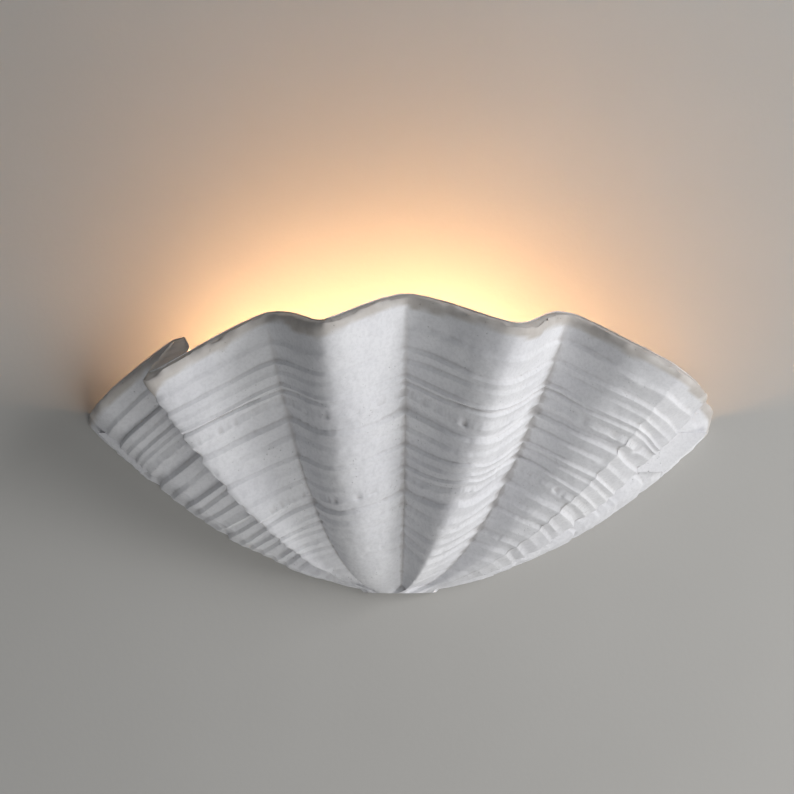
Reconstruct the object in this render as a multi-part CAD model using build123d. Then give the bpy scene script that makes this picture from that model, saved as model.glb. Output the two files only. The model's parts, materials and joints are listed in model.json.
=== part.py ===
"""Cast plaster clam-shell wall uplighter: millimetres, +Z up, the wall is the plane y = 0 and the room is at -Y.

The origin is the centre of the wall plate's back face. The plaster shell hangs on two sloping
tongues of the wall plate, which also carries the lampholder. The bulb screws in along +X.
"""

from build123d import *
import math
import os

os.makedirs("parts", exist_ok=True)

# ---------------------------------------------------------------- shell: driving sizes
UMBO_DROP = 104.0  # from the wall plate's centre down to the shell's lowest point
SHELL_WALL = 9.0  # plaster thickness at the rim, square to the surface
FLOOR_HEIGHT = 22.0  # inside floor of the bowl over its lowest point
FIRST_GROWTH = 0.03  # growth stage at which the outer ribs start over the umbo
FLOOR_SIZE = (34.0, 15.0)  # half width and depth from the wall of the hollow's flat floor
UMBO_SIZE = (26.0, 10.0)  # half width and depth from the wall of the flat under the umbo
FIRST_INNER = 0.05  # growth stage at which the hollow's ribs start over its floor
INNER_STEPS = 8  # ruled strips from there to the rim
POINTS_PER_SPAN = 4  # section points from one rib station to the next
EDGE_STEP = 0.6  # least growth of the distance from the wall, from one section point to the next
LEDGE_RUN = 0.006  # share of growth over which a growth ledge drops back

SHARP_FOLD = 0.5  # least sharpness at which a section turns at an angle
RIM_ROUNDING = 0.8  # share by which the sharp folds soften from the umbo to the rim

# One row per crest, groove and edge, from left to right. The place is that of the rim, measured
# from the umbo at the wall. A point at growth stage s (0 umbo, 1 rim) lies at
# (x * s**x_power, y * s**y_power, z * s**z_power). sharpness is 0 for a round fold, 1 for a sharp
# groove between arched sides, and -1 for a sharp crest between straight ones.
RIB_STATIONS = [
    # name          x     y    z  x_pow y_pow z_pow sharpness
    ("left_edge", -225, 0, 121, 0.62, 1.00, 1.18, 0.0),
    ("crest_a", -209, -44, 136, 0.57, 0.80, 1.15, 0.2),
    ("groove_ab", -160, -44, 177, 0.52, 0.90, 1.05, 0.8),
    ("crest_b", -171, -108, 150, 0.52, 0.70, 1.00, 0.2),
    ("groove_bc", -90, -100, 193, 0.38, 0.80, 1.02, 0.6),
    ("crest_c", -50, -150, 186, 0.32, 0.72, 1.13, 0.0),
    ("groove_cd", 4, -128, 204, 0.50, 0.75, 1.08, 0.9),
    ("crest_d", 78, -156, 183, 0.84, 0.72, 1.27, 0.0),
    ("groove_de", 113, -100, 193, 0.50, 0.80, 1.00, 0.9),
    ("flank_e", 152, -123, 172, 0.53, 0.76, 1.00, 0.0),
    ("crest_e", 186, -118, 154, 0.55, 0.75, 1.00, -0.9),
    ("edge_e", 212, -66, 139, 0.58, 0.80, 1.10, -0.8),
    ("groove_ef", 197, -34, 150, 0.58, 0.90, 1.15, 0.3),
    ("crest_f", 222, -16, 129, 0.60, 0.90, 1.16, 0.1),
    ("right_edge", 222, 0, 114, 0.62, 1.00, 1.18, 0.0),
]
# Growth stage and height of each bold growth ledge.
GROWTH_LEDGES = [(0.10, 1.2), (0.20, 1.8), (0.31, 2.0), (0.42, 2.8), (0.56, 2.0), (0.70, 3.0), (0.85, 2.2)]
TREAD_SECTIONS = 2  # ruled strips in each tread between two ledges

# ---------------------------------------------------------------- general
FIT_GAP = 0.05  # round a shank in its hole
SEAT_GAP = 0.3  # between pieces that move apart

# ---------------------------------------------------------------- hangers and wall plate: driving sizes
PLATE_WIDTH = 240.0
PLATE_HEIGHT = 46.0
PLATE_THICK = 2.0
PLATE_CORNER = 8.0
SCREW_SPACING = 172.0
SCREW_SLOT_WIDTH = 5.0
SCREW_SLOT_LENGTH = 13.0
TONGUE_ANGLE = 40.0  # above the horizontal
TONGUE_WIDTH = 16.0
TONGUE_X = 106.0
TONGUE_TIP = 6.0  # past the hanger, along the tongue
HANGER_Z = -4.0
HANGER_THICK = 2.5
HANGER_HEIGHT = 20.0
HANGER_OFF_WALL = 4.0  # from the wall to the hanger's back
HANGER_END = 12.0  # from the tongue's middle to the hanger's free end
HANGER_BURIED = 24.0  # length bedded in the plaster lug
TONGUE_SIDE_GAP = 1.0
LUG_HEIGHT = 28.0
LUG_DEPTH = 17.0
LUG_INNER_X = 152.0
CABLE_HOLE_X = 24.0
CABLE_HOLE_RADIUS = 7.0
GROMMET_BORE_RADIUS = 4.0
GROMMET_LIP = 2.0
GROMMET_LIP_THICK = 1.5

# ---------------------------------------------------------------- bulb: driving sizes
LAMP_Y = -31.0
LAMP_Z = 1.0
GLOBE_X = 12.0
GLOBE_RADIUS = 22.5
COLLAR_LENGTH = 19.0
COLLAR_MOUTH_RADIUS = 14.5
COLLAR_NECK_RADIUS = 8.5
CAP_RADIUS = 6.75
CAP_LENGTH = 16.0
INSULATOR_LENGTH = 3.2
INSULATOR_TIP_RADIUS = 3.6
TIP_RADIUS = 2.4
TIP_LENGTH = 1.6

# ---------------------------------------------------------------- lampholder: driving sizes
HOLDER_RADIUS = 13.5
HOLDER_WALL = 1.6
THREAD_GAP = 0.25  # between the bulb's cap and the liner
LINER_WALL = 0.4
LINER_LENGTH = 13.0
SLEEVE_GAP = 0.8  # from the sleeve's mouth to the bulb's collar
BASE_LENGTH = 13.0
BASE_FLOOR = 3.0
CONTACT_ROOM = 12.5  # from the base's floor to the centre contact
CONTACT_THICK = 0.5
CONTACT_WIDTH = 5.0
CONTACT_RADIUS = 6.9  # of the two contact strips' inner faces about the lamp's axis
SLEEVE_CHAMFER = 1.5

# ---------------------------------------------------------------- lamp arm and fixings: driving sizes
ARM_THICK = 1.8
ARM_WIDTH = 24.0
ARM_FOOT = 19.0
ARM_OVERHANG = 11.0  # past the lampholder's axis
RIVET_RADIUS = 1.6
RIVET_HEAD_RADIUS = 3.0
RIVET_HEAD = 1.4
RIVET_SPACING = 8.0
NIPPLE_RADIUS = 5.0
NIPPLE_BORE = 3.2
NIPPLE_TAIL = 1.5  # past the lock nut
NUT_ACROSS = 14.0
NUT_THICK = 3.0
WASHER_RADIUS = 8.5
WASHER_THICK = 1.0

# ---------------------------------------------------------------- terminal block, earth and leads: driving sizes
POLE_PITCH = 8.6
POLE_DEPTH = 4.2  # from the plate's face to the pole's axis
BLOCK_X = -25.0
BLOCK_LENGTH = 20.0
BLOCK_MARGIN = 5.0  # past the outer poles
BLOCK_DEPTH = 11.0
BLOCK_RIB = 1.2
INSERT_RADIUS = 2.4
INSERT_BORE = 1.5
INSERT_LENGTH = 16.0
POLE_SCREW_RADIUS = 1.3
POLE_SCREW_SPREAD = 9.0
POLE_SCREW_LENGTH = 4.0
POLE_WELL_RADIUS = 2.0
BLOCK_SCREW_RADIUS = 1.2
BLOCK_SCREW_HEAD_RADIUS = 1.8
BLOCK_SCREW_HEAD = 1.6
LEAD_RADIUS = 1.2
LEAD_BEND = 6.0
LEAD_INSIDE_POLE = 12.0
LEAD_INSIDE_HOLDER = 7.0
LEAD_X = -55.0
EARTH_SCREW_X = 1.0
EARTH_SCREW_Z = -17.8
EARTH_SCREW_RADIUS = 2.0
EARTH_HEAD_RADIUS = 3.6
EARTH_HEAD = 2.2
EARTH_TAG_THICK = 0.8
EARTH_TAG_RADIUS = 4.0
EARTH_BARREL_WALL = 0.6
EARTH_BARREL_LENGTH = 4.5
EARTH_NECK = 1.0  # from the tag's ring to its barrel
SCREW_SLOT_CUT = (0.7, 0.8)  # width and depth of a driver slot

# ---------------------------------------------------------------- places that follow from them
PLATE_FACE = -PLATE_THICK
POLE_Y = PLATE_FACE - POLE_DEPTH
POLE_OFFSETS = {"live": POLE_PITCH, "earth": 0.0, "neutral": -POLE_PITCH}
COLLAR_END = GLOBE_X - math.sqrt(GLOBE_RADIUS**2 - COLLAR_MOUTH_RADIUS**2) - COLLAR_LENGTH
CAP_END = COLLAR_END - CAP_LENGTH
TIP_END = CAP_END - INSULATOR_LENGTH - TIP_LENGTH
CONTACT_X = TIP_END - SEAT_GAP
BASE_X = CONTACT_X - CONTACT_THICK - CONTACT_ROOM  # the base's floor inside
ARM_X = BASE_X - BASE_FLOOR  # the arm's face that carries the lampholder
SLEEVE_START = ARM_X + BASE_LENGTH
SLEEVE_MOUTH = COLLAR_END - SLEEVE_GAP
LINER_RADIUS = CAP_RADIUS + THREAD_GAP
LINER_START = SLEEVE_MOUTH - LINER_LENGTH
LAMP_AXIS = Location((0, LAMP_Y, LAMP_Z), (0, 90, 0))  # local +Z runs along the lamp's axis, +X


# ================================================================ the shell's form
def eased(smooth, chord, far_slope, sharpness):
    """The slope at a fold, between a smooth one and that of an arched or a straight side."""
    side = 2 * chord - far_slope if sharpness > 0 else chord
    return smooth + abs(sharpness) * (side - smooth)


def station_values(position, growth=1):
    """x, y, z and the three growth powers at a place between the rib stations."""
    last = len(RIB_STATIONS) - 1
    left = min(int(position), last - 1)
    share = position - left
    rows = [station[1:] for station in RIB_STATIONS]
    here, there = rows[left], rows[left + 1]
    before = rows[left - 1] if left > 0 else None
    after = rows[left + 2] if left + 2 <= last else None
    span = math.dist(here[:3], there[:3]) ** 0.5
    span_before = math.dist(before[:3], here[:3]) ** 0.5 if before else span
    span_after = math.dist(there[:3], after[:3]) ** 0.5 if after else span
    softening = 1 - RIM_ROUNDING * growth**3
    sharp_here, sharp_there = here[6] * softening, there[6] * softening
    values = []
    for column in range(6):
        start, end = here[column], there[column]
        chord = end - start
        slope_in = slope_out = chord
        if before:
            first = (end - before[column]) / (span_before + span)
            slope_in = chord + span * ((start - before[column]) / span_before - first)
        if after:
            second = (after[column] - start) / (span + span_after)
            slope_out = chord + span * ((after[column] - end) / span_after - second)
        plain_in = slope_in + abs(sharp_here) * (chord - slope_in)
        plain_out = slope_out + abs(sharp_there) * (chord - slope_out)
        slope_in = eased(slope_in, chord, plain_out, sharp_here)
        slope_out = eased(slope_out, chord, plain_in, sharp_there)
        values.append(
            (2 * share**3 - 3 * share**2 + 1) * start
            + (share**3 - 2 * share**2 + share) * slope_in
            + (3 * share**2 - 2 * share**3) * end
            + (share**3 - share**2) * slope_out
        )
    return values


def form_point(position, growth):
    """A point of the shell's smooth outer form."""
    x, y, z, x_power, y_power, z_power = station_values(position, growth)
    return Vector(x * growth**x_power, y * growth**y_power, z * growth**z_power)


def form_normal(position, growth):
    """The outward direction of that form."""
    step = 0.02
    last = len(RIB_STATIONS) - 1
    across = form_point(min(position + step, last), growth) - form_point(max(position - step, 0), growth)
    along = form_point(position, min(growth + step, 1)) - form_point(position, growth - step / 2)
    return across.cross(along).normalized()


def at_wall(points):
    """The points with both ends on the wall and the others at least a little off it."""
    last = len(points) - 1
    return [
        Vector(point.X, min(point.Y, -EDGE_STEP * min(i, last - i, 3)) if 0 < i < last else 0, point.Z)
        for i, point in enumerate(points)
    ]


def even_places():
    """The section points' places between the rib stations."""
    last = len(RIB_STATIONS) - 1
    return [i / POINTS_PER_SPAN for i in range(last * POINTS_PER_SPAN + 1)]


def rim_shares():
    """How far along the rim each section point lies, from 0 to 1."""
    rim = at_wall([form_point(place, 1) for place in even_places()])
    lengths = [0.0]
    for start, end in zip(rim, rim[1:]):
        lengths.append(lengths[-1] + (end - start).length)
    return [length / lengths[-1] for length in lengths]


def shell_section(growth, offset):
    """The points of one section, moved out from the form by offset, from the left edge to the right one."""
    return at_wall([form_point(p, growth) + form_normal(p, growth) * offset for p in even_places()])


def half_ellipse(half_width, depth, height):
    """A section that is a level half ellipse against the wall."""
    angles = [math.pi * share for share in rim_shares()]
    return at_wall([Vector(-half_width * math.cos(a), -depth * math.sin(a), height) for a in angles])


def tread_sections():
    """The outer sections from the umbo to the rim. Each tread swells to a lip and drops back at its ledge."""
    sections = [half_ellipse(*UMBO_SIZE, 0)]
    foot = FIRST_GROWTH
    for growth, height in GROWTH_LEDGES + [(1.0, GROWTH_LEDGES[-1][1])]:
        for strip in range(1, TREAD_SECTIONS + 1):
            share = strip / TREAD_SECTIONS
            sections.append(shell_section(foot + (growth - foot) * share, height * (share - 1)))
        if growth < 1:
            foot = growth + LEDGE_RUN
            next_height = next((h for g, h in GROWTH_LEDGES if g > growth), GROWTH_LEDGES[-1][1])
            sections.append(shell_section(foot, -next_height))
    return sections


def hollow_point(position, growth):
    """A point of the hollow: its rim lies one wall inside the form's rim, and its floor over the umbo."""
    x_power, y_power, z_power = station_values(position, growth)[3:]
    rim = form_point(position, 1) - form_normal(position, 1) * SHELL_WALL
    height = FLOOR_HEIGHT + (rim.Z - FLOOR_HEIGHT) * growth**z_power
    return Vector(rim.X * growth**x_power, min(rim.Y, 0) * growth**y_power, height)


def hollow_sections():
    """The inner sections from the floor to the rim."""
    sections = []
    for step in range(INNER_STEPS + 1):
        growth = FIRST_INNER + (1 - FIRST_INNER) * step / INNER_STEPS
        sections.append(at_wall([hollow_point(place, growth) for place in even_places()]))
    sections[0] = half_ellipse(*FLOOR_SIZE, FLOOR_HEIGHT)
    return sections


def heading(points, i, station, side):
    """The section's direction at a station, one-sided (side -1 or 1) at a sharp fold."""
    sharp = abs(RIB_STATIONS[station][-1]) > SHARP_FOLD
    start = i if sharp and side > 0 or i == 0 else i - 1
    end = i if sharp and side < 0 or i == len(points) - 1 else i + 1
    return points[end] - points[start]


def fold_curves(points):
    """One smooth curve from each rib station to the next. They meet at an angle only at a sharp fold."""
    curves = []
    for station in range(len(RIB_STATIONS) - 1):
        start, end = station * POINTS_PER_SPAN, (station + 1) * POINTS_PER_SPAN
        tangents = [heading(points, start, station, 1), heading(points, end, station + 1, -1)]
        curves.append(Edge.make_spline(points[start : end + 1], tangents=tangents))
    return curves


def ruled_faces(sections):
    """The ruled faces between each section and the next, one for each curve."""
    pairs = [pair for lower, upper in zip(sections, sections[1:]) for pair in zip(lower, upper)]
    return [Face.make_surface_from_curves(lower, upper) for lower, upper in pairs]


def make_bowl():
    """The plaster bowl: ruled treads outside, a smooth hollow inside and a flat back at the wall."""
    outer_points = tread_sections()
    inner_points = hollow_sections()
    outer = [fold_curves(points) for points in outer_points]
    inner = [fold_curves(points) for points in inner_points]
    faces = ruled_faces(outer) + ruled_faces(inner) + ruled_faces([outer[-1], inner[-1]])
    for curves, points in ((outer[0], outer_points[0]), (inner[0], inner_points[0])):
        chord = Line(points[-1], points[0])
        faces.append(Face(Wire([*curves, chord.edge()])))
    outline = [points[0] for points in outer_points] + [points[0] for points in reversed(inner_points)]
    outline += [points[-1] for points in inner_points] + [points[-1] for points in reversed(outer_points)]
    faces.append(Face(Wire.make_polygon(outline, close=True)))
    bowl = Solid(Shell(faces))
    if bowl.volume < 0:
        bowl = Solid(bowl.wrapped.Reversed())
    return bowl


def edge_middle(station, height):
    """How far from the middle the plaster's middle lies at the wall, at a height over the umbo."""
    x, _, z, x_power, _, z_power, _ = RIB_STATIONS[station][1:]
    outer = abs(x) * (height / z) ** (x_power / z_power)
    rim = hollow_point(station % len(RIB_STATIONS), 1)
    inner = abs(rim.X) * ((height - FLOOR_HEIGHT) / (rim.Z - FLOOR_HEIGHT)) ** (x_power / z_power)
    return (outer + inner) / 2


def lug(side):
    """The plaster lug inside the back edge that holds a hanger's end. side is -1 on the left, 1 on the right."""
    station = 0 if side < 0 else -1
    low = UMBO_DROP + HANGER_Z - LUG_HEIGHT / 2
    high = low + LUG_HEIGHT
    corners = [
        (side * LUG_INNER_X, low),
        (side * edge_middle(station, low), low),
        (side * edge_middle(station, high), high),
        (side * LUG_INNER_X, high),
    ]
    outline = make_face(Polyline(*[(x, 0, z - UMBO_DROP) for x, z in corners], close=True))
    return extrude(outline, LUG_DEPTH, dir=(0, -1, 0))


# ================================================================ small helpers
def block(x_range, y_range, z_range):
    """A box from its lowest and highest coordinates."""
    lows, highs = zip(x_range, y_range, z_range)
    middle = [(low + high) / 2 for low, high in zip(lows, highs)]
    return Pos(*middle) * Box(*[high - low for low, high in zip(lows, highs)])


def rod_y(x, z, radius, y_from, y_to):
    """A round rod square to the wall."""
    return Location((x, (y_from + y_to) / 2, z), (90, 0, 0)) * Cylinder(radius, abs(y_to - y_from))


def rod_x(radius, x_from, x_to, y=LAMP_Y, z=LAMP_Z):
    """A round rod along X, on the lamp's axis unless told otherwise."""
    return Location(((x_from + x_to) / 2, y, z), (0, 90, 0)) * Cylinder(radius, abs(x_to - x_from))


def turned(profile):
    """A solid of revolution about the lamp's axis, from (x, radius) points."""
    face = make_face(Polyline(*[(x, LAMP_Y - radius, LAMP_Z) for x, radius in profile], close=True))
    return revolve(face, Axis((0, LAMP_Y, LAMP_Z), (1, 0, 0)))


def save(name, shape):
    export_step(shape, f"parts/{name}.step")


# ================================================================ plaster shell and its hangers
def hanger(side):
    """A flat steel strap with a slot near its free end. Its other end is bedded in the lug."""
    ends = sorted((side * (TONGUE_X - HANGER_END), side * (LUG_INNER_X + HANGER_BURIED)))
    depths = (-HANGER_OFF_WALL - HANGER_THICK, -HANGER_OFF_WALL)
    strap = block(ends, depths, (HANGER_Z - HANGER_HEIGHT / 2, HANGER_Z + HANGER_HEIGHT / 2))
    slope = math.radians(TONGUE_ANGLE)
    half_slot = PLATE_THICK / 2 / math.cos(slope) + HANGER_THICK / 2 * math.tan(slope) + SEAT_GAP
    half_width = TONGUE_WIDTH / 2 + TONGUE_SIDE_GAP
    sides = sorted((side * TONGUE_X - half_width, side * TONGUE_X + half_width))
    return strap - block(sides, depths, (HANGER_Z - half_slot, HANGER_Z + half_slot))


def plaster_shell():
    shell = Pos(0, 0, -UMBO_DROP) * make_bowl()
    for side in (-1, 1):
        shell = shell + lug(side)
    for side in (-1, 1):
        shell = shell - hanger(side)
    return shell


# ================================================================ wall plate
def tongue(side):
    """A tab of the plate that rises away from the wall and carries one hanger."""
    slope = math.radians(TONGUE_ANGLE)
    forward, up = math.cos(slope), math.sin(slope)
    middle = HANGER_OFF_WALL + HANGER_THICK / 2
    back = (middle - PLATE_THICK / 2) / forward
    front = HANGER_THICK / 2 / forward + TONGUE_TIP
    half = PLATE_THICK / 2
    corners = [(-back, half), (-back, -half), (front, -half), (front, half)]
    points = [
        (
            side * TONGUE_X - TONGUE_WIDTH / 2,
            -(middle + along * forward - across * up),
            HANGER_Z + along * up + across * forward,
        )
        for along, across in corners
    ]
    return extrude(make_face(Polyline(*points, close=True)), TONGUE_WIDTH, dir=(1, 0, 0))


def wall_plate():
    outline = RectangleRounded(PLATE_WIDTH, PLATE_HEIGHT, PLATE_CORNER)
    plate = extrude(Plane.XZ * outline, PLATE_THICK)
    slots = [Pos(side * SCREW_SPACING / 2, 0) * SlotOverall(SCREW_SLOT_LENGTH, SCREW_SLOT_WIDTH) for side in (-1, 1)]
    for slot in slots:
        plate = plate - extrude(Plane.XZ * slot, PLATE_THICK)
    plate = plate - rod_y(CABLE_HOLE_X, 0, CABLE_HOLE_RADIUS, 0, PLATE_FACE)
    for side in (-1, 1):
        plate = plate + tongue(side)
    boss_face = POLE_Y + LEAD_RADIUS + EARTH_BARREL_WALL
    plate = plate + rod_y(EARTH_SCREW_X, EARTH_SCREW_Z, EARTH_TAG_RADIUS, 0, boss_face)
    plate = plate - rod_y(EARTH_SCREW_X, EARTH_SCREW_Z, EARTH_SCREW_RADIUS + FIT_GAP, 0, boss_face)
    for z in rivet_heights():
        plate = plate - rod_y(RIVET_X, z, RIVET_RADIUS + FIT_GAP, 0, PLATE_FACE)
    return plate - rod_y(BLOCK_X, BLOCK_SCREW_Z, BLOCK_SCREW_RADIUS + FIT_GAP, 0, PLATE_FACE)


def cable_grommet():
    hole = CABLE_HOLE_RADIUS
    body = rod_y(CABLE_HOLE_X, 0, hole, 0, PLATE_FACE)
    body = body + rod_y(CABLE_HOLE_X, 0, hole + GROMMET_LIP, PLATE_FACE, PLATE_FACE - GROMMET_LIP_THICK)
    return body - rod_y(CABLE_HOLE_X, 0, GROMMET_BORE_RADIUS, 0, PLATE_FACE - GROMMET_LIP_THICK)


# ================================================================ lamp arm and its fixings
RIVET_X = ARM_X + ARM_FOOT / 2
BLOCK_SCREW_Z = LAMP_Z + POLE_PITCH / 2


def rivet_heights():
    return [LAMP_Z - RIVET_SPACING / 2, LAMP_Z + RIVET_SPACING / 2]


def lamp_arm():
    heights = (LAMP_Z - ARM_WIDTH / 2, LAMP_Z + ARM_WIDTH / 2)
    foot = block((ARM_X - ARM_THICK, ARM_X + ARM_FOOT), (PLATE_FACE - ARM_THICK, PLATE_FACE), heights)
    upright = block((ARM_X - ARM_THICK, ARM_X), (LAMP_Y - ARM_OVERHANG, PLATE_FACE), heights)
    arm = foot + upright
    ends = [e for e in arm.edges().filter_by(Axis.X) if e.center().Y < LAMP_Y]
    arm = fillet(ends, ARM_WIDTH / 3)
    arm = arm - rod_x(NIPPLE_RADIUS + FIT_GAP, ARM_X - ARM_THICK, ARM_X)
    for z in rivet_heights():
        arm = arm - rod_y(RIVET_X, z, RIVET_RADIUS + FIT_GAP, PLATE_FACE, PLATE_FACE - ARM_THICK)
    return arm


def arm_rivets():
    face = PLATE_FACE - ARM_THICK
    rivets = []
    for z in rivet_heights():
        shank = rod_y(RIVET_X, z, RIVET_RADIUS, 0, face)
        head = rod_y(RIVET_X, z, RIVET_HEAD_RADIUS, face, face - RIVET_HEAD)
        rim = head.edges().filter_by(GeomType.CIRCLE).sort_by(Axis.Y)[0]
        rivets.append(shank + fillet(rim, RIVET_HEAD * 0.7))
    return Compound(rivets)


NUT_FACE = ARM_X - ARM_THICK - WASHER_THICK


def entry_nipple():
    ends = (NUT_FACE - NUT_THICK - NIPPLE_TAIL, BASE_X)
    return rod_x(NIPPLE_RADIUS, *ends) - rod_x(NIPPLE_BORE, *ends)


def arm_washer():
    ends = (NUT_FACE, ARM_X - ARM_THICK)
    return rod_x(WASHER_RADIUS, *ends) - rod_x(NIPPLE_RADIUS + FIT_GAP, *ends)


def lock_nut():
    hexagon = RegularPolygon(NUT_ACROSS / 2, 6, major_radius=False)
    nut = extrude(Location((NUT_FACE, LAMP_Y, LAMP_Z), (0, -90, 0)) * hexagon, NUT_THICK)
    return nut - rod_x(NIPPLE_RADIUS + FIT_GAP, NUT_FACE - NUT_THICK, NUT_FACE)


# ================================================================ lampholder
def lead_hole(offset):
    """The hole in the holder's base that takes a lead, on the wall side."""
    return rod_y(LEAD_X, LAMP_Z + offset, LEAD_RADIUS + FIT_GAP, LAMP_Y, LAMP_Y + HOLDER_RADIUS)


def holder_base():
    inside = HOLDER_RADIUS - HOLDER_WALL
    base = rod_x(HOLDER_RADIUS, ARM_X, SLEEVE_START) - rod_x(inside, BASE_X, SLEEVE_START)
    base = base - rod_x(NIPPLE_RADIUS + FIT_GAP, ARM_X, BASE_X)
    return base - lead_hole(POLE_OFFSETS["live"]) - lead_hole(POLE_OFFSETS["neutral"])


def holder_sleeve():
    inside = HOLDER_RADIUS - HOLDER_WALL
    bore = LINER_RADIUS + LINER_WALL
    return turned(
        [
            (SLEEVE_START, inside),
            (SLEEVE_START, HOLDER_RADIUS),
            (SLEEVE_MOUTH - SLEEVE_CHAMFER, HOLDER_RADIUS),
            (SLEEVE_MOUTH, HOLDER_RADIUS - SLEEVE_CHAMFER),
            (SLEEVE_MOUTH, bore),
            (LINER_START, bore),
            (LINER_START, inside),
        ]
    )


def holder_liner():
    tube = rod_x(LINER_RADIUS + LINER_WALL, LINER_START, SLEEVE_MOUTH)
    return tube - rod_x(LINER_RADIUS, LINER_START, SLEEVE_MOUTH)


def contact_strip(side, x_end):
    """The strip from the base's floor along the lamp's axis, above the axis (1) or below it (-1)."""
    heights = sorted((LAMP_Z + side * CONTACT_RADIUS, LAMP_Z + side * (CONTACT_RADIUS + CONTACT_THICK)))
    return block((BASE_X, x_end), (LAMP_Y - CONTACT_WIDTH / 2, LAMP_Y + CONTACT_WIDTH / 2), heights)


def centre_contact():
    strip = contact_strip(1, CONTACT_X)
    leaf = block(
        (CONTACT_X - CONTACT_THICK, CONTACT_X),
        (LAMP_Y - CONTACT_WIDTH / 2, LAMP_Y + CONTACT_WIDTH / 2),
        (LAMP_Z - TIP_RADIUS, LAMP_Z + CONTACT_RADIUS + CONTACT_THICK),
    )
    return strip + leaf


def side_contact():
    return contact_strip(-1, LINER_START)


# ================================================================ bulb
def bulb_globe():
    """The frosted ball, cut flat where it sits in the collar."""
    seat = COLLAR_END + COLLAR_LENGTH
    ball = Pos(GLOBE_X, LAMP_Y, LAMP_Z) * Sphere(GLOBE_RADIUS)
    return ball - rod_x(GLOBE_RADIUS, GLOBE_X - GLOBE_RADIUS - 1, seat)


def bulb_collar():
    """The tapered neck between the cap and the ball."""
    seat = COLLAR_END + COLLAR_LENGTH
    flare = COLLAR_LENGTH / 3
    return turned(
        [
            (COLLAR_END, 0),
            (COLLAR_END, COLLAR_NECK_RADIUS - 1),
            (COLLAR_END + 1, COLLAR_NECK_RADIUS),
            (COLLAR_END + flare, COLLAR_NECK_RADIUS + 1),
            (seat - 1, COLLAR_MOUTH_RADIUS),
            (seat, COLLAR_MOUTH_RADIUS),
            (seat, 0),
        ]
    )


def bulb_cap():
    return rod_x(CAP_RADIUS, CAP_END, COLLAR_END)


def bulb_insulator():
    return turned(
        [
            (CAP_END, 0),
            (CAP_END, CAP_RADIUS - 1),
            (CAP_END - INSULATOR_LENGTH, INSULATOR_TIP_RADIUS),
            (CAP_END - INSULATOR_LENGTH, 0),
        ]
    )


def bulb_tip():
    return rod_x(TIP_RADIUS, TIP_END, TIP_END + TIP_LENGTH)


# ================================================================ terminal block, earth and leads
def pole_screw_places():
    """(x, z) of each pole's two screws."""
    spread = POLE_SCREW_SPREAD / 2
    return [(BLOCK_X + dx, LAMP_Z + z) for z in POLE_OFFSETS.values() for dx in (-spread, spread)]


def terminal_block():
    half_height = POLE_PITCH + BLOCK_MARGIN
    ends = (BLOCK_X - BLOCK_LENGTH / 2, BLOCK_X + BLOCK_LENGTH / 2)
    front = PLATE_FACE - BLOCK_DEPTH
    body = block(ends, (front, PLATE_FACE), (LAMP_Z - half_height, LAMP_Z + half_height))
    for gap in (-POLE_PITCH / 2, POLE_PITCH / 2):
        groove = (LAMP_Z + gap - BLOCK_RIB, LAMP_Z + gap + BLOCK_RIB)
        body = body - block(ends, (front, front + BLOCK_RIB), groove)
    for z in POLE_OFFSETS.values():
        body = body - rod_x(INSERT_RADIUS, *ends, y=POLE_Y, z=LAMP_Z + z)
    for x, z in pole_screw_places():
        body = body - rod_y(x, z, POLE_WELL_RADIUS, POLE_Y, front)
    body = body - rod_y(BLOCK_X, BLOCK_SCREW_Z, BLOCK_SCREW_RADIUS + FIT_GAP, PLATE_FACE, front)
    return body - rod_y(BLOCK_X, BLOCK_SCREW_Z, BLOCK_SCREW_HEAD_RADIUS, front + BLOCK_DEPTH / 3, front)


def terminal_inserts():
    ends = (BLOCK_X - INSERT_LENGTH / 2, BLOCK_X + INSERT_LENGTH / 2)
    inserts = []
    for z in POLE_OFFSETS.values():
        tube = rod_x(INSERT_RADIUS, *ends, y=POLE_Y, z=LAMP_Z + z)
        tube = tube - rod_x(INSERT_BORE, *ends, y=POLE_Y, z=LAMP_Z + z)
        for x, screw_z in pole_screw_places():
            if abs(screw_z - LAMP_Z - z) < POLE_PITCH / 2:
                tube = tube - rod_y(x, screw_z, POLE_SCREW_RADIUS + FIT_GAP, POLE_Y, POLE_Y - INSERT_RADIUS)
        inserts.append(tube)
    return Compound(inserts)


def driver_slot(x, z, radius, face):
    width, depth = SCREW_SLOT_CUT
    return block((x - radius, x + radius), (face, face + depth), (z - width / 2, z + width / 2))


def terminal_screws():
    tip = POLE_Y - LEAD_RADIUS
    head = tip - POLE_SCREW_LENGTH
    return Compound(
        [
            rod_y(x, z, POLE_SCREW_RADIUS, tip, head) - driver_slot(x, z, POLE_SCREW_RADIUS, head)
            for x, z in pole_screw_places()
        ]
    )


def block_screw():
    seat = PLATE_FACE - BLOCK_DEPTH + BLOCK_DEPTH / 3
    shank = rod_y(BLOCK_X, BLOCK_SCREW_Z, BLOCK_SCREW_RADIUS, 0, seat)
    head_face = seat - BLOCK_SCREW_HEAD
    head = rod_y(BLOCK_X, BLOCK_SCREW_Z, BLOCK_SCREW_HEAD_RADIUS - FIT_GAP, seat, head_face)
    return shank + head - driver_slot(BLOCK_X, BLOCK_SCREW_Z, BLOCK_SCREW_HEAD_RADIUS, head_face)


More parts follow.
